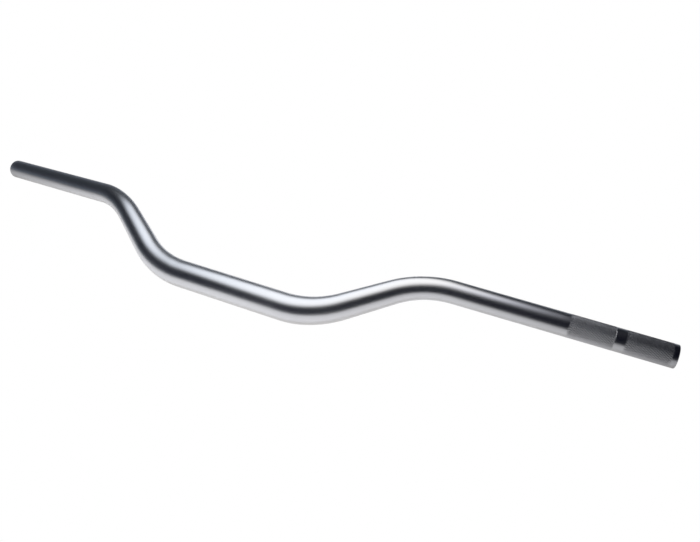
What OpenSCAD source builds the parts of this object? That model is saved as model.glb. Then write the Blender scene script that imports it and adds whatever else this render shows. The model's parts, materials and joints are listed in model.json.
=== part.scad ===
// Tapered aluminium motorcycle handlebar: a thick clamp section in the middle, two risers, two swept-back grips.
// It rests on the clamp section's underside and both tips. X runs along the clamp section, Y to the rear, Z up.

/* [Tube] */
// Outside diameter of the clamp section
clamp_d = 28.6; // [26:0.1:32]
// Outside diameter of the grip ends
grip_d = 22.2; // [20:0.1:24]
// Wall thickness in the clamp section
clamp_wall = 4.3; // [3:0.1:6]
// Wall thickness in the grip ends
grip_wall = 4.1; // [3:0.1:5]
// Chamfer on the outer edge of each tip
tip_chamfer = 0.8; // [0.3:0.1:1.5]
// Chamfer at the mouth of the bore
mouth_chamfer = 0.5; // [0.3:0.1:1]

/* [Centre line, one side] */
// Middle of the bar to the corner below the riser
clamp_half = 94.9; // [85:0.1:120]
// Corner below the riser to the corner at the grip
riser_len = 113.2; // [105:0.1:140]
// Corner at the grip to the tip
grip_run = 235.4; // [180:0.1:280]
// Angle between the riser and the clamp section
riser_angle = 34; // [25:0.5:40]
// How far the grip sweeps back from the clamp section's direction
sweep_angle = 13.7; // [8:0.1:25]
// How far the grip rises towards its tip, with the risers upright
rise_angle = 4.8; // [0:0.1:10]

/* [Bends and taper] */
// Centre line radius of the bend below the riser
riser_bend_r = 106; // [80:1:120]
// Centre line radius of the bend at the grip
grip_bend_r = 107; // [80:1:120]
// Where the taper starts, along the bar from the middle
taper_start = 75.5; // [60:0.5:100]
// Where the taper ends, along the bar from the middle
taper_end = 206; // [150:0.5:230]

/* [Hidden] */
$fn = 96;
eps = 0.01;
plug = 2;
outer_sides = 32;
inner_sides = 24;
bend_steps = 10;

// The centre line: three straight runs joined by two bends, with the risers upright
clamp_dir = [1, 0, 0];
riser_dir = [cos(riser_angle), 0, sin(riser_angle)];
grip_dir = [
    cos(rise_angle) * cos(sweep_angle),
    cos(rise_angle) * sin(sweep_angle),
    sin(rise_angle)
];
riser_corner = clamp_half * clamp_dir;
grip_corner = riser_corner + riser_len * riser_dir;
tip = grip_corner + grip_run * grip_dir;

// Angle and tangent length of each bend, and the distances along the bar where each one starts and ends
grip_turn = acos(riser_dir * grip_dir);
riser_tangent = riser_bend_r * tan(riser_angle / 2);
grip_tangent = grip_bend_r * tan(grip_turn / 2);
riser_bend_start = clamp_half - riser_tangent;
riser_bend_end = riser_bend_start + arc(riser_bend_r, riser_angle);
grip_bend_start = riser_bend_end + riser_len - riser_tangent - grip_tangent;
grip_bend_end = grip_bend_start + arc(grip_bend_r, grip_turn);
grip_len = grip_run - grip_tangent;

// The bar leans back about its clamp section until both tips touch what it lies on
tip_dist = norm([tip.y, tip.z]);
level = atan2(tip.z, tip.y);
lean = level + asin((clamp_d / 2 - tip_drop(level + 2)) / tip_dist);

function arc(radius, angle) = radius * angle * PI / 180;

// How far the lowest point of a tip's rim lies below the tip's centre at a given lean
function tip_drop(angle) =
    grip_d / 2 * sqrt(1 - pow(grip_dir.z * cos(angle) - grip_dir.y * sin(angle), 2));

// Vector v turned about the unit vector axis
function turned(v, axis, angle) =
    v * cos(angle) + cross(axis, v) * sin(angle) + axis * (axis * v) * (1 - cos(angle));

// Radius at a distance along the bar: constant, then an even taper, then constant
function taper(dist, clamp_r, grip_r) =
    let (part = (dist - taper_start) / (taper_end - taper_start))
    clamp_r + (grip_r - clamp_r) * min(max(part, 0), 1);

// The rings of one bend. A ring is [centre, direction, side vector, distance along the bar].
function bend(start, dir, side, axis, radius, angle, dist) = [
    for (i = [0 : bend_steps])
        let (
            a = angle * i / bend_steps,
            pivot = start + radius * cross(axis, dir)
        )
        [
            pivot + turned(start - pivot, axis, a),
            turned(dir, axis, a),
            turned(side, axis, a),
            dist + arc(radius, a)
        ]
];

// Both bends of one side, with the riser as the straight stretch between them
riser_axis = [0, -1, 0];
grip_axis = cross(riser_dir, grip_dir) / norm(cross(riser_dir, grip_dir));
bent_rings = concat(
    bend(
        riser_bend_start * clamp_dir,
        clamp_dir,
        [0, 1, 0],
        riser_axis,
        riser_bend_r,
        riser_angle,
        riser_bend_start
    ),
    bend(
        grip_corner - grip_tangent * riser_dir,
        riser_dir,
        [0, 1, 0],
        grip_axis,
        grip_bend_r,
        grip_turn,
        grip_bend_start
    )
);

// A ring moved along its own direction, which starts or ends a bent stretch inside the straight run beside it
function shifted(ring, by) = [ring[0] + by * ring[1], ring[1], ring[2], ring[3]];

function ring_points(ring, radius, sides) = [
    for (i = [0 : sides - 1])
        let (a = 360 * i / sides)
        ring[0] + radius * (ring[2] * cos(a) + cross(ring[1], ring[2]) * sin(a))
];

// The closed skin through a list of rings of points
module skin(rings, sides) {
    last = len(rings) - 1;
    polyhedron(
        points = [for (ring = rings) each ring],
        faces = concat(
            [[for (i = [0 : sides - 1]) i]],
            [
                for (j = [0 : last - 1], i = [0 : sides - 1])
                    let (
                        a = j * sides + i,
                        b = j * sides + (i + 1) % sides
                    )
                    each [[a, a + sides, b + sides], [a, b + sides, b]]
            ],
            [[for (i = [sides - 1 : -1 : 0]) last * sides + i]]
        )
    );
}

// The bent stretch of one side as a solid, with ends that reach into the straight runs
module bent_stretch(clamp_r, grip_r, sides) {
    last = len(bent_rings) - 1;
    skin(
        concat(
            [ring_points(shifted(bent_rings[0], -plug), clamp_r - 1, sides)],
            [
                for (ring = bent_rings)
                    ring_points(ring, taper(ring[3], clamp_r, grip_r) - eps, sides)
            ],
            [ring_points(shifted(bent_rings[last], plug), grip_r - 1, sides)]
        ),
        sides
    );
}

// Puts its children at the tip, with Z along the grip towards the outside
module at_tip() {
    translate(tip)
        rotate([0, acos(grip_dir.z), atan2(grip_dir.y, grip_dir.x)])
            children();
}

// One side's outer shape beyond the clamp section
module side_body() {
    bent_stretch(clamp_d / 2, grip_d / 2, outer_sides);
    at_tip() {
        translate([0, 0, -grip_len])
            cylinder(d = grip_d, h = grip_len - tip_chamfer);
        translate([0, 0, -tip_chamfer])
            cylinder(d1 = grip_d, d2 = grip_d - 2 * tip_chamfer, h = tip_chamfer);
    }
}

// One side's bore beyond the clamp section
module side_bore() {
    bore_r = grip_d / 2 - grip_wall;
    bent_stretch(clamp_d / 2 - clamp_wall, bore_r, inner_sides);
    at_tip() {
        translate([0, 0, -grip_len])
            cylinder(r = bore_r, h = grip_len + 1);
        translate([0, 0, -mouth_chamfer])
            cylinder(r1 = bore_r, r2 = bore_r + 2 * mouth_chamfer, h = 2 * mouth_chamfer);
    }
}

module clamp_run(d) {
    rotate([0, 90, 0])
        cylinder(d = d, h = 2 * riser_bend_start, center = true);
}

module both_sides() {
    children();
    mirror([1, 0, 0])
        children();
}

module bar_tube() {
    color("silver")
        rotate([-lean, 0, 0])
            difference() {
                union() {
                    clamp_run(clamp_d);
                    both_sides()
                        side_body();
                }
                clamp_run(clamp_d - 2 * clamp_wall);
                both_sides()
                    side_bore();
            }
}

bar_tube();
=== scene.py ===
"""A bare tapered aluminium handlebar, satin anodised, with two knurled bands on the clutch-side grip."""

import json
import math

import bpy
from mathutils import Matrix, Quaternion, Vector


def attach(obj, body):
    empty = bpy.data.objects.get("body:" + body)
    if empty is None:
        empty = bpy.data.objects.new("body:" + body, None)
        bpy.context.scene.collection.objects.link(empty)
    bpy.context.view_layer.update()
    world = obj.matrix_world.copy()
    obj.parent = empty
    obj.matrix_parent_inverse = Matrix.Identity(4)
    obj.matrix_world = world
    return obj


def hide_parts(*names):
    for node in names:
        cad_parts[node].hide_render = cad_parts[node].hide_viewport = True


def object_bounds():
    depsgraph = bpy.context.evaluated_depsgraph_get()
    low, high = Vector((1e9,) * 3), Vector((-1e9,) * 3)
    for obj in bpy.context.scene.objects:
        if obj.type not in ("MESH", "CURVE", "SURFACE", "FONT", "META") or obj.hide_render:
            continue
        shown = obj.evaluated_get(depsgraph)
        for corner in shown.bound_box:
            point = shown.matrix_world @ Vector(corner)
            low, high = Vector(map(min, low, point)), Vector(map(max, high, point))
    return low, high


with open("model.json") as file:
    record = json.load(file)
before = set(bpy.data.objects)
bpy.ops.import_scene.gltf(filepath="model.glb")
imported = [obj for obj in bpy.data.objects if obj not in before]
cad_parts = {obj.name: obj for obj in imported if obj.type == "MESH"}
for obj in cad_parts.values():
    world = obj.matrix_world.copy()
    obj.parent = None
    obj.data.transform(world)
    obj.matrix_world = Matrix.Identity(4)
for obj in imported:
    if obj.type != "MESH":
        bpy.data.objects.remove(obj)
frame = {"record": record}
cad_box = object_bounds()

# ---------------------------------------------------------------- the bar's shape, in metres
MOUNTS = {m["name"]: m for m in frame["record"]["mounts"]}
CLAMP, GRIP, BORE = MOUNTS["clamp_seat"], MOUNTS["left_grip_seat"], MOUNTS["left_end_bore"]
CLAMP_R = CLAMP["dims"]["r_mm"] / 1000
GRIP_R = GRIP["dims"]["r_mm"] / 1000
BORE_R = BORE["dims"]["r_mm"] / 1000
CLAMP_WALL = 0.0043
TIP_CHAMFER = 0.0008
MOUTH_CHAMFER = 0.0005

RISER_BEND_R = 0.106
GRIP_BEND_R = 0.107
RISER_LEN = 0.1132
TAPER_START = 0.0755
TAPER_END = 0.206
STATION_STEP = 0.010

# Knurling, measured from the clutch-side tip. Each diamond is STEPS sides of the tube wide. Where the grooves
# run out, the edge of the band has KNURL_RUN_OUT of their depth, and KNURL_LEAD beyond it the tube is plain.
KNURL_MARGIN = 0.0053
KNURL_BAND = 0.0415
KNURL_GAP = 0.0096
KNURL_DEPTH = 0.00026
KNURL_AROUND = 34
KNURL_LEAD = 0.0006
KNURL_RUN_OUT = 0.35
KNURL_WALL = 0.0003
KNURL_ROUGHNESS = 0.50
STEPS = 6
SIDES = STEPS * KNURL_AROUND

# ---------------------------------------------------------------- studio and camera
CAMERA_AT = (0.4561, -0.5362, 0.4883)
CAMERA_AZIMUTH = 30.47
CAMERA_ELEVATION = 34.18
CAMERA_ROLL = -2.15
CAMERA_LENS = 43.0

# The table is lit by one lamp above, and the paper carries a painted glow, an emission pool that stands in
# for light from below through the paper; both are strongest at the same spot
TABLE_LEVEL = cad_box[0].z
TABLE_SPOT = (-0.026, 0.103)
TABLE_PAINTED_GLOW = 0.686
TABLE_PAINTED_GLOW_REACH = 0.45
TABLE_PAINTED_GLOW_COLOUR = (1.0, 0.981, 0.959)
TABLE_LIGHT = 0.523
TABLE_LIGHT_HEIGHT = 0.50
TABLE_LIGHT_SIZE = 0.30
TABLE_LIGHT_COLOUR = (0.857, 0.898, 1.0)
PAPER_WHITE = (0.90, 0.94)

# Colours of the lamps that the bar mirrors
SOFTBOX_LEFT = (0.850, 0.907, 0.995)
SOFTBOX_RIGHT = (0.993, 0.978, 0.941)
FILL_COLOUR = (0.873, 0.895, 1.0)

# The dark room that the bar mirrors: on the camera's side, from left to right, and behind the table, by
# degrees above the horizon
ROOM_LEFT = (0.002, 0.004, 0.018)
ROOM_RIGHT = (0.001, 0.001, 0.001)
ROOM_BEHIND = [
    (0, (0.336, 0.437, 0.545)),
    (8, (0.099, 0.092, 0.110)),
    (20, (0.046, 0.058, 0.066)),
    (36, (0.004, 0.005, 0.011)),
    (90, (0.004, 0.005, 0.010)),
]


class CentreLine:
    """One side of the centre line: clamp run, bend, riser, bend, grip run. The other side mirrors it."""

    def __init__(self):
        self.clamp_half = CLAMP["dims"]["length_mm"] / 2000
        grip_dir = Vector(GRIP["axis"]).normalized()
        grip_len = GRIP["dims"]["length_mm"] / 1000 + TIP_CHAMFER
        self.tip = Vector(GRIP["pos_m"]) + grip_dir * grip_len / 2
        grip_start = self.tip - grip_dir * grip_len

        clamp_dir = Vector((1, 0, 0))
        corner = self.corner_on_grip(grip_start, grip_dir)
        riser_dir = (corner - self.riser_corner).normalized()
        riser_turn = clamp_dir.angle(riser_dir)
        grip_turn = riser_dir.angle(grip_dir)
        riser_axis = clamp_dir.cross(riser_dir).normalized()
        grip_axis = riser_dir.cross(grip_dir).normalized()
        riser_cut = RISER_BEND_R * math.tan(riser_turn / 2)
        grip_cut = GRIP_BEND_R * math.tan(grip_turn / 2)

        side = riser_axis.copy()
        riser_len = RISER_LEN - riser_cut - grip_cut
        self.runs = []
        at = self.add(0.0, Vector(), clamp_dir, side, self.clamp_half)
        at = self.add(*at, RISER_BEND_R * riser_turn, riser_axis, RISER_BEND_R)
        at = self.add(*at, riser_len)
        at = self.add(*at, GRIP_BEND_R * grip_turn, grip_axis, GRIP_BEND_R)
        self.add(*at, grip_len)
        self.length = at[0] + grip_len

    def corner_on_grip(self, grip_start, grip_dir):
        """The sharp corner between riser and grip: the point on the grip's axis that is RISER_LEN from the
        corner below the riser. That corner's own place follows from the bend between them."""
        x = self.clamp_half
        for _ in range(20):
            self.riser_corner = Vector((x, 0, 0))
            away = grip_start - self.riser_corner
            along = away.dot(grip_dir)
            off = away.length_squared - RISER_LEN**2
            corner = grip_start - grip_dir * (along - math.sqrt(along**2 - off))
            turn = Vector((1, 0, 0)).angle(corner - self.riser_corner)
            x = self.clamp_half + RISER_BEND_R * math.tan(turn / 2)
        return corner

    def add(self, dist, start, direction, side, length, axis=None, bend_r=None):
        """Adds a straight or bent run, and returns where the next one starts."""
        run = (dist, dist + length, start, direction, side, axis, bend_r)
        self.runs.append(run)
        centre, direction, side = self.on_run(run, dist + length)
        return dist + length, centre, direction, side

    @staticmethod
    def on_run(run, dist):
        """Centre, direction and side vector at a distance along a run."""
        begin, _, start, direction, side, axis, bend_r = run
        if axis is None:
            return start + direction * (dist - begin), direction, side
        pivot = start + axis.cross(direction) * bend_r
        turn = Quaternion(axis, (dist - begin) / bend_r)
        return pivot + turn @ (start - pivot), turn @ direction, turn @ side

    def ring_at(self, dist):
        """Centre, side vector and up vector of the cross-section at a signed distance from the middle."""
        d = min(abs(dist), self.length)
        run = next(r for r in self.runs if d <= r[1] + 1e-9)
        centre, direction, side = self.on_run(run, d)
        up = side.cross(direction)
        if dist < 0:
            mirror = Matrix.Diagonal((-1, 1, 1))
            centre, side, up = mirror @ centre, mirror @ side, mirror @ up
        return centre, side, up


def taper(dist, clamp_r, grip_r):
    part = (abs(dist) - TAPER_START) / (TAPER_END - TAPER_START)
    return clamp_r + (grip_r - clamp_r) * min(max(part, 0), 1)


def outer_radius(dist):
    return taper(dist, CLAMP_R, GRIP_R)


def bore_radius(dist):
    return taper(dist, CLAMP_R - CLAMP_WALL, BORE_R)


def spaced(start, end, step):
    n = max(1, math.ceil((end - start) / step))
    return [start + (end - start) * i / n for i in range(n + 1)]


def stations(line, step):
    """Distances along one side, closer together in the bends."""
    marks = []
    for begin, end, *_, bend_r in line.runs:
        marks += spaced(begin, end, step if bend_r is None else step / 4)[:-1]
    return marks


class TubeMesh:
    """Collects the bar's points with their place on the unrolled surface, and its faces."""

    def __init__(self, line):
        self.line = line
        self.rings = {}
        self.points = []
        self.unrolled = []
        self.faces = []

    def point(self, dist, step, radius):
        """A point at a distance along the bar, and at an angle of step sides round it."""
        if dist not in self.rings:
            self.rings[dist] = self.line.ring_at(dist)
        centre, side, up = self.rings[dist]
        turn = step / SIDES
        angle = 2 * math.pi * turn
        self.points.append(centre + radius * (side * math.cos(angle) + up * math.sin(angle)))
        self.unrolled.append((dist, turn))
        return len(self.points) - 1

    def loop(self, dist, radius):
        return [self.point(dist, i, radius) for i in range(SIDES)]

    def join(self, a, b):
        for i in range(SIDES):
            j = (i + 1) % SIDES
            self.faces.append((a[i], b[i], b[j], a[j]))


def knurl_bands(tip):
    """Where the two knurled bands start and end, as distances from the middle of the bar."""
    outer_end = tip - KNURL_MARGIN
    outer_start = outer_end - KNURL_BAND
    inner_end = outer_start - KNURL_GAP
    return (inner_end - KNURL_BAND, inner_end), (outer_start, outer_end)


def add_knurl(tube, start, end, before, walled):
    """A band of diamonds rolled into the tube, from one loop of points to another, which is returned.

    Two sets of grooves cross at about 30 degrees to the axis. Between them each diamond rises from the
    crossings to a shoulder and then to a flat crown. The grooves run out at the edges of the band, but a
    walled band keeps its depth up to its end and stops there at a small wall."""
    pitch = 2 * math.pi * GRIP_R / KNURL_AROUND
    rows = 2 * round((end - start) / (pitch * math.sqrt(3)))
    row_len = (end - start) / rows
    shoulder, crown = 2 / 3, 1 / 3
    shoulder_height = 0.7

    def place(row, step, height):
        rows_in = row if walled else min(row, rows - row)
        depth = KNURL_DEPTH * min(1, KNURL_RUN_OUT + (1 - KNURL_RUN_OUT) * rows_in)
        return tube.point(start + row * row_len, step, GRIP_R - depth * (1 - height))

    # Crossings of the grooves: even rows at whole pitches, odd rows half a pitch round
    cross = [
        [place(row, STEPS * (j + 0.5 * (row % 2)), 0) for j in range(KNURL_AROUND)]
        for row in range(rows + 1)
    ]

    def half_diamonds(row, inward, loop):
        """The diamonds cut in half by an edge of the band, and the strip from there to a plain loop."""
        for j in range(KNURL_AROUND):
            mid = STEPS * (j + 0.5)
            left, right = cross[row][j], cross[row][(j + 1) % KNURL_AROUND]
            low = cross[row + inward][j]
            # West, east and south points of the shoulder (1) and of the crown (2)
            w1, e1 = [place(row, mid + way * STEPS / 2 * shoulder, shoulder_height) for way in (-1, 1)]
            w2, e2 = [place(row, mid + way * STEPS / 2 * crown, 1) for way in (-1, 1)]
            s1 = place(row + inward * shoulder, mid, shoulder_height)
            s2 = place(row + inward * crown, mid, 1)
            plain = [loop[(STEPS * j + k) % SIDES] for k in range(STEPS + 1)]
            skin = [
                (w2, s2, e2),
                (w1, s1, s2, w2),
                (e2, s2, s1, e1),
                (left, low, s1, w1),
                (e1, s1, low, right),
                (plain[0], left, w1, plain[1]),
                (plain[1], w1, w2, plain[2]),
                (plain[2], w2, e2, plain[4], plain[3]),
                (plain[4], e2, e1, plain[5]),
                (plain[5], e1, right, plain[6]),
            ]
            tube.faces += skin if inward > 0 else [face[::-1] for face in skin]

    half_diamonds(0, 1, before)
    for row in range(1, rows):
        odd = row % 2
        for j in range(KNURL_AROUND):
            next_j = (j + 1) % KNURL_AROUND
            mid = STEPS * (j + 0.5 + 0.5 * odd)
            beside = next_j if odd else j
            ring = [cross[row - 1][beside], cross[row][next_j], cross[row + 1][beside], cross[row][j]]
            for size, height in ((shoulder, shoulder_height), (crown, 1)):
                inner = [
                    place(row - size, mid, height),
                    place(row, mid + STEPS / 2 * size, height),
                    place(row + size, mid, height),
                    place(row, mid - STEPS / 2 * size, height),
                ]
                for k in range(4):
                    m = (k + 1) % 4
                    tube.faces.append((ring[k], inner[k], inner[m], ring[m]))
                ring = inner
            tube.faces.append((ring[3], ring[2], ring[1], ring[0]))
    if not walled:
        after = tube.loop(end + KNURL_LEAD, GRIP_R)
        half_diamonds(rows, -1, after)
        return after
    foot_at = end + 0.3 * KNURL_WALL
    foot = tube.loop(foot_at, GRIP_R - KNURL_DEPTH)
    half_diamonds(rows, -1, foot)
    after = tube.loop(foot_at + KNURL_WALL, GRIP_R)
    tube.join(foot, after)
    return after


def build_bar(line):
    """The whole tube: outside from the plain tip to the knurled tip, then back through the bore."""
    tube = TubeMesh(line)
    tip = line.length
    one_side = [m for m in stations(line, STATION_STEP) if m > 0]
    (inner_start, inner_end), (outer_start, outer_end) = knurl_bands(tip)

    # Rounded-off outer edge and chamfered mouth of a tip: (distance back from the tip, radius)
    rim = [
        (TIP_CHAMFER * (1 - math.sin(a)), GRIP_R - TIP_CHAMFER * (1 - math.cos(a)))
        for a in [math.radians(x) for x in (0, 22.5, 45, 67.5, 90)]
    ]
    mouth = [(0.0, BORE_R + MOUTH_CHAMFER), (MOUTH_CHAMFER, BORE_R)]

    loops = [tube.loop(back - tip, radius) for back, radius in reversed(rim)]
    loops += [tube.loop(-m, outer_radius(m)) for m in reversed(one_side)]
    loops += [tube.loop(m, outer_radius(m)) for m in [0.0] + one_side if m < inner_start - KNURL_LEAD]
    loops.append(tube.loop(inner_start - KNURL_LEAD, GRIP_R))
    for a, b in zip(loops, loops[1:]):
        tube.join(a, b)
    last = add_knurl(tube, inner_start, inner_end, loops[-1], walled=True)
    before = tube.loop(outer_start - KNURL_LEAD, GRIP_R)
    tube.join(last, before)
    last = add_knurl(tube, outer_start, outer_end, before, walled=False)

    closing = [last]
    closing += [tube.loop(tip - back, radius) for back, radius in rim]
    closing += [tube.loop(tip - back, radius) for back, radius in mouth]
    closing += [tube.loop(m, bore_radius(m)) for m in reversed(one_side)]
    closing += [tube.loop(-m, bore_radius(m)) for m in [0.0] + one_side]
    closing += [tube.loop(back - tip, radius) for back, radius in reversed(mouth)]
    closing.append(loops[0])
    for a, b in zip(closing, closing[1:]):
        tube.join(a, b)
    return tube


def bar_object(line, material):
    tube = build_bar(line)
    mesh = bpy.data.meshes.new("handlebar_tube")
    mesh.from_pydata(tube.points, [], tube.faces)

    # The unrolled surface: metres along the bar and turns round it, without a jump inside any face
    surface = mesh.uv_layers.new(name="unrolled")
    for face in mesh.polygons:
        places = [tube.unrolled[v] for v in face.vertices]
        furthest = max(turn for _, turn in places)
        for i, (dist, turn) in zip(face.loop_indices, places):
            surface.data[i].uv = (dist, turn + round(furthest - turn))
    mesh.shade_smooth()
    mesh.set_sharp_from_angle(angle=math.radians(24))
    mesh.materials.append(material)
    obj = bpy.data.objects.new("handlebar_tube", mesh)
    bpy.context.scene.collection.objects.link(obj)
    return obj


# ---------------------------------------------------------------- materials
class Nodes:
    """Short calls for building a node tree."""

    def __init__(self, tree):
        self.tree = tree
        tree.nodes.clear()

    def add(self, kind, inputs=None, **settings):
        node = self.tree.nodes.new(kind)
        for name, value in settings.items():
            setattr(node, name, value)
        for name, value in (inputs or {}).items():
            if isinstance(value, bpy.types.NodeSocket):
                self.tree.links.new(value, node.inputs[name])
            else:
                node.inputs[name].default_value = value
        return node


def in_band(n, dist, start, end, blend=0.0004):
    """1 where a distance along the bar is within a band, fading to 0 just outside it."""
    rise = n.add(
        "ShaderNodeMapRange", {"Value": dist, "From Min": start - blend, "From Max": start + blend}
    ).outputs["Result"]
    fall = n.add(
        "ShaderNodeMapRange",
        {"Value": dist, "From Min": end - blend, "From Max": end + blend, "To Min": 1.0, "To Max": 0.0},
    ).outputs["Result"]
    return n.add("ShaderNodeMath", {0: rise, 1: fall}, operation="MULTIPLY").outputs[0]


def anodised_aluminium(bands):
    """Satin silver anodising: an even metal with a faint cloudiness, fine drawing lines along the tube, a
    fine grain, and a rougher, duller finish where the knurl was rolled in."""
    material = bpy.data.materials.new("satin_anodised_aluminium")
    material.use_nodes = True
    n = Nodes(material.node_tree)
    where = n.add("ShaderNodeTexCoord").outputs["Object"]
    unrolled = n.add("ShaderNodeUVMap", uv_map="unrolled").outputs["UV"]
    place = n.add("ShaderNodeSeparateXYZ", {"Vector": unrolled})
    dist = place.outputs["X"]
    angle = n.add(
        "ShaderNodeMath", {0: place.outputs["Y"], 1: 2 * math.pi}, operation="MULTIPLY"
    ).outputs[0]
    first, second = [in_band(n, dist, start, end) for start, end in bands]
    knurled = n.add("ShaderNodeMath", {0: first, 1: second}, operation="ADD").outputs[0]

    cloud = n.add(
        "ShaderNodeTexNoise", {"Vector": where, "Scale": 28.0, "Detail": 5.0, "Roughness": 0.6}
    ).outputs["Fac"]
    grain = n.add(
        "ShaderNodeTexNoise", {"Vector": where, "Scale": 2600.0, "Detail": 3.0, "Roughness": 0.7}
    ).outputs["Fac"]
    # The drawing lines are noise stretched along the tube. It is laid over a ring, so that no seam shows.
    round_x = n.add("ShaderNodeMath", {0: angle}, operation="COSINE").outputs[0]
    round_y = n.add("ShaderNodeMath", {0: angle}, operation="SINE").outputs[0]
    ring = n.add("ShaderNodeCombineXYZ", {"X": dist, "Y": round_x, "Z": round_y}).outputs["Vector"]
    stretch = n.add("ShaderNodeVectorMath", {0: ring, 1: (25.0, 22.0, 22.0)}, operation="MULTIPLY")
    drawn = n.add(
        "ShaderNodeTexNoise", {"Vector": stretch.outputs["Vector"], "Scale": 1.0, "Detail": 4.0}
    ).outputs["Fac"]
    relief = n.add("ShaderNodeMath", {0: grain, 1: drawn}, operation="ADD").outputs[0]

    colour = n.add("ShaderNodeValToRGB", {"Fac": cloud})
    colour.color_ramp.elements[0].position = 0.3
    colour.color_ramp.elements[0].color = (0.60, 0.60, 0.61, 1)
    colour.color_ramp.elements[1].position = 0.7
    colour.color_ramp.elements[1].color = (0.64, 0.64, 0.65, 1)
    satin = n.add(
        "ShaderNodeMapRange",
        {"Value": cloud, "From Min": 0.3, "From Max": 0.7, "To Min": 0.30, "To Max": 0.34},
    ).outputs["Result"]
    rough = n.add("ShaderNodeMix", {"Factor": knurled, "A": satin, "B": KNURL_ROUGHNESS}).outputs["Result"]
    bump = n.add(
        "ShaderNodeBump", {"Strength": 0.06, "Distance": 0.0001, "Height": relief}
    ).outputs["Normal"]
    shader = n.add(
        "ShaderNodeBsdfPrincipled",
        {"Base Color": colour.outputs["Color"], "Metallic": 1.0, "Roughness": rough, "Normal": bump},
    )
    n.add("ShaderNodeOutputMaterial", {"Surface": shader.outputs["BSDF"]})
    return material


def table_top():
    """Seamless white paper. The camera sees it evenly bright; the bar sees the lamp above fall on it, and a
    painted glow, an emission on the paper that fades out from a spot.
    """
    material = bpy.data.materials.new("white_table")
    material.use_nodes = True
    n = Nodes(material.node_tree)
    where = n.add("ShaderNodeTexCoord").outputs["Object"]
    fibre = n.add(
        "ShaderNodeTexNoise", {"Vector": where, "Scale": 900.0, "Detail": 4.0}
    ).outputs["Fac"]
    shade = n.add(
        "ShaderNodeMapRange", {"Value": fibre, "To Min": PAPER_WHITE[0], "To Max": PAPER_WHITE[1]}
    ).outputs["Result"]
    white = n.add("ShaderNodeCombineColor", {"Red": shade, "Green": shade, "Blue": shade})
    paper = n.add("ShaderNodeBsdfDiffuse", {"Color": white.outputs["Color"]})
    # Painted light: the paper glows with an emission that is brightest at the spot and fades out with
    # distance, seen only by reflections.
    spot = (*TABLE_SPOT, TABLE_LEVEL)
    away = n.add("ShaderNodeVectorMath", {0: where, 1: spot}, operation="DISTANCE").outputs["Value"]
    scaled = n.add("ShaderNodeMath", {0: away, 1: TABLE_PAINTED_GLOW_REACH}, operation="DIVIDE").outputs[0]
    power = n.add("ShaderNodeMath", {0: scaled, 1: 4.0}, operation="POWER").outputs[0]
    spread = n.add("ShaderNodeMath", {0: power, 1: 1.0}, operation="ADD").outputs[0]
    level = n.add("ShaderNodeMath", {0: TABLE_PAINTED_GLOW, 1: spread}, operation="DIVIDE").outputs[0]
    glow = n.add("ShaderNodeEmission", {"Color": (*TABLE_PAINTED_GLOW_COLOUR, 1), "Strength": level})
    lit = n.add("ShaderNodeAddShader", {0: paper.outputs[0], 1: glow.outputs[0]})
    bright = n.add("ShaderNodeEmission", {"Color": (1, 1, 1, 1), "Strength": 1.0})
    seen = n.add("ShaderNodeLightPath").outputs["Is Camera Ray"]
    mix = n.add("ShaderNodeMixShader", {0: seen, 1: lit.outputs[0], 2: bright.outputs[0]})
    n.add("ShaderNodeOutputMaterial", {"Surface": mix.outputs[0]})
    return material


def lamp_face(left, right, radiance, rim):
    """A softbox's front: its colour runs from left to right, and it fades at its rim, faster with a larger
    rim power."""
    material = bpy.data.materials.new("softbox_face")
    material.use_nodes = True
    n = Nodes(material.node_tree)
    where = n.add("ShaderNodeTexCoord").outputs["UV"]
    radius = n.add("ShaderNodeVectorMath", {0: where}, operation="LENGTH").outputs["Value"]
    power = n.add("ShaderNodeMath", {0: radius, 1: rim}, operation="POWER").outputs[0]
    fade = n.add("ShaderNodeMath", {0: power, 1: -0.5}, operation="MULTIPLY").outputs[0]
    level = n.add("ShaderNodeMath", {0: math.e, 1: fade}, operation="POWER").outputs[0]
    strength = n.add("ShaderNodeMath", {0: level, 1: radiance}, operation="MULTIPLY").outputs[0]
    across = n.add("ShaderNodeSeparateXYZ", {"Vector": where}).outputs["X"]
    part = n.add(
        "ShaderNodeMapRange", {"Value": across, "From Min": -1.0, "From Max": 1.0}
    ).outputs["Result"]
    tint = n.add(
        "ShaderNodeMix", {"Factor": part, "A": (*left, 1), "B": (*right, 1)}, data_type="RGBA"
    ).outputs["Result"]
    glow = n.add("ShaderNodeEmission", {"Color": tint, "Strength": strength})
    clear = n.add("ShaderNodeBsdfTransparent")
    front = n.add("ShaderNodeAddShader", {0: glow.outputs[0], 1: clear.outputs[0]})
    behind = n.add("ShaderNodeNewGeometry").outputs["Backfacing"]
    mix = n.add("ShaderNodeMixShader", {0: behind, 1: front.outputs[0], 2: clear.outputs[0]})
    n.add("ShaderNodeOutputMaterial", {"Surface": mix.outputs[0]})
    return material


# ---------------------------------------------------------------- studio
def add_table():
    mesh = bpy.data.meshes.new("table")
    half = 4.0
    corners = [(-half, -half), (half, -half), (half, half), (-half, half)]
    mesh.from_pydata([(x, y, TABLE_LEVEL) for x, y in corners], [], [(0, 1, 2, 3)])
    mesh.materials.append(table_top())
    table = bpy.data.objects.new("table", mesh)
    bpy.context.scene.collection.objects.link(table)


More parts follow.
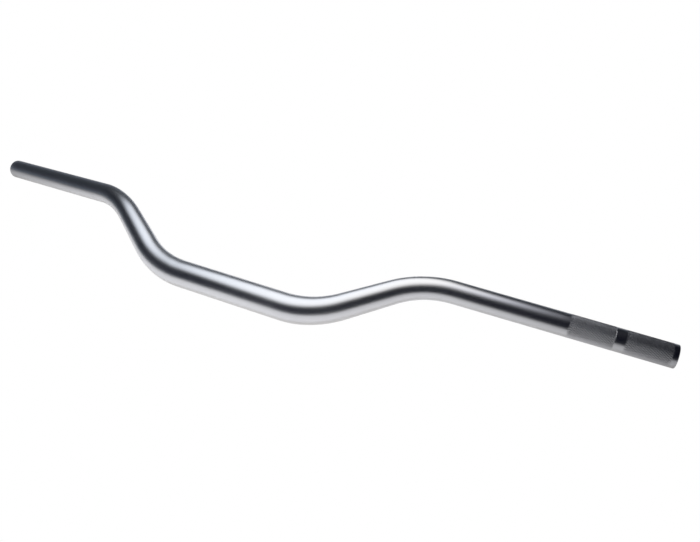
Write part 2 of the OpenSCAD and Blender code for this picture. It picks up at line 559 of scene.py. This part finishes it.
def add_room():
    """A dark studio, bluish on the camera's left, with a faint glow low down behind the table. Reflections
    see the room; the camera sees a white sweep."""
    world = bpy.data.worlds.new("studio")
    bpy.context.scene.world = world
    world.use_nodes = True
    n = Nodes(world.node_tree)
    way = n.add("ShaderNodeTexCoord").outputs["Generated"]
    azimuth = math.radians(CAMERA_AZIMUTH)

    def part_of_way(direction):
        """0 to 1 from one end of the room to the other, in a level direction."""
        along = n.add("ShaderNodeVectorMath", {0: way, 1: direction}, operation="DOT_PRODUCT")
        return n.add(
            "ShaderNodeMapRange", {"Value": along.outputs["Value"], "From Min": -1.0, "From Max": 1.0}
        ).outputs["Result"]

    behind = part_of_way((-math.sin(azimuth), math.cos(azimuth), 0))
    right = part_of_way((math.cos(azimuth), math.sin(azimuth), 0))
    up = n.add("ShaderNodeSeparateXYZ", {"Vector": way}).outputs["Z"]
    height = n.add("ShaderNodeMath", {0: up}, operation="ARCSINE").outputs[0]
    turn = n.add("ShaderNodeMapRange", {"Value": height, "From Max": math.pi / 2}).outputs["Result"]
    glow = n.add("ShaderNodeValToRGB", {"Fac": turn})
    ramp = glow.color_ramp
    while len(ramp.elements) < len(ROOM_BEHIND):
        ramp.elements.new(0.5)
    for element, (degrees, colour) in zip(ramp.elements, ROOM_BEHIND):
        element.position = degrees / 90
        element.color = (*colour, 1)
    dark = n.add(
        "ShaderNodeMix",
        {"Factor": right, "A": (*ROOM_LEFT, 1), "B": (*ROOM_RIGHT, 1)},
        data_type="RGBA",
    ).outputs["Result"]
    room = n.add(
        "ShaderNodeMix", {"Factor": behind, "A": dark, "B": glow.outputs["Color"]}, data_type="RGBA"
    )
    seen = n.add("ShaderNodeLightPath").outputs["Is Camera Ray"]
    mix = n.add(
        "ShaderNodeMix",
        {"Factor": seen, "A": room.outputs["Result"], "B": (1, 1, 1, 1)},
        data_type="RGBA",
    )
    background = n.add("ShaderNodeBackground", {"Color": mix.outputs["Result"]})
    n.add("ShaderNodeOutputWorld", {"Surface": background.outputs["Background"]})


def add_softbox(name, centre, spread, turn, left, right, radiance, rim):
    """A lamp that the bar mirrors: an oval softbox close above it, out of the camera's sight. Its sheet
    reaches past the rim, to where the lamp has faded out."""
    mesh = bpy.data.meshes.new(name)
    reach = 1 + 3.5 / rim
    corners = [(-reach, -reach), (-reach, reach), (reach, reach), (reach, -reach)]
    mesh.from_pydata([(x * spread[0], y * spread[1], 0) for x, y in corners], [], [(0, 1, 2, 3)])
    face = mesh.uv_layers.new(name="face")
    for loop in mesh.loops:
        face.data[loop.index].uv = corners[loop.vertex_index]
    mesh.materials.append(lamp_face(left, right, radiance, rim))
    obj = bpy.data.objects.new(name, mesh)
    bpy.context.scene.collection.objects.link(obj)
    obj.location = centre
    obj.rotation_euler = (0, 0, math.radians(turn))
    obj.visible_camera = False
    obj.visible_diffuse = False
    obj.visible_shadow = False


def add_table_light():
    """Lights the table from above. Its power is set so that the paper under it has the given radiance."""
    light = bpy.data.lights.new("table_light", "AREA")
    light.shape = "DISK"
    light.size = TABLE_LIGHT_SIZE
    light.color = TABLE_LIGHT_COLOUR
    white = sum(PAPER_WHITE) / 2
    light.energy = TABLE_LIGHT * math.pi**2 * TABLE_LIGHT_HEIGHT**2 / white
    obj = bpy.data.objects.new("table_light", light)
    bpy.context.scene.collection.objects.link(obj)
    obj.location = (*TABLE_SPOT, TABLE_LEVEL + TABLE_LIGHT_HEIGHT)
    obj.visible_camera = False
    obj.visible_glossy = False


def add_camera():
    camera = bpy.data.cameras.new("camera")
    camera.lens = CAMERA_LENS
    camera.sensor_width = 36
    camera.clip_start = 0.01
    camera.clip_end = 20
    obj = bpy.data.objects.new("camera", camera)
    bpy.context.scene.collection.objects.link(obj)
    aim = (
        Matrix.Rotation(math.radians(CAMERA_AZIMUTH), 4, "Z")
        @ Matrix.Rotation(math.radians(90 - CAMERA_ELEVATION), 4, "X")
        @ Matrix.Rotation(math.radians(CAMERA_ROLL), 4, "Z")
    )
    obj.matrix_world = Matrix.Translation(Vector(CAMERA_AT)) @ aim
    bpy.context.scene.camera = obj


line = CentreLine()
bar = bar_object(line, anodised_aluminium(knurl_bands(line.length)))
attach(bar, "root")
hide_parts("bar_tube")

add_table()
add_room()
add_softbox(
    "softbox",
    centre=(-0.027, 0.111, 0.240),
    spread=(0.246, 0.218),
    turn=-2.8,
    left=SOFTBOX_LEFT,
    right=SOFTBOX_RIGHT,
    radiance=1.73,
    rim=6.8,
)
add_softbox(
    "fill_lamp",
    centre=(0.264, 0.115, 0.241),
    spread=(0.049, 0.075),
    turn=0,
    left=FILL_COLOUR,
    right=FILL_COLOUR,
    radiance=1.03,
    rim=2,
)
add_table_light()
add_camera()

view = bpy.context.scene.view_settings
view.view_transform = "Standard"
view.look = "None"
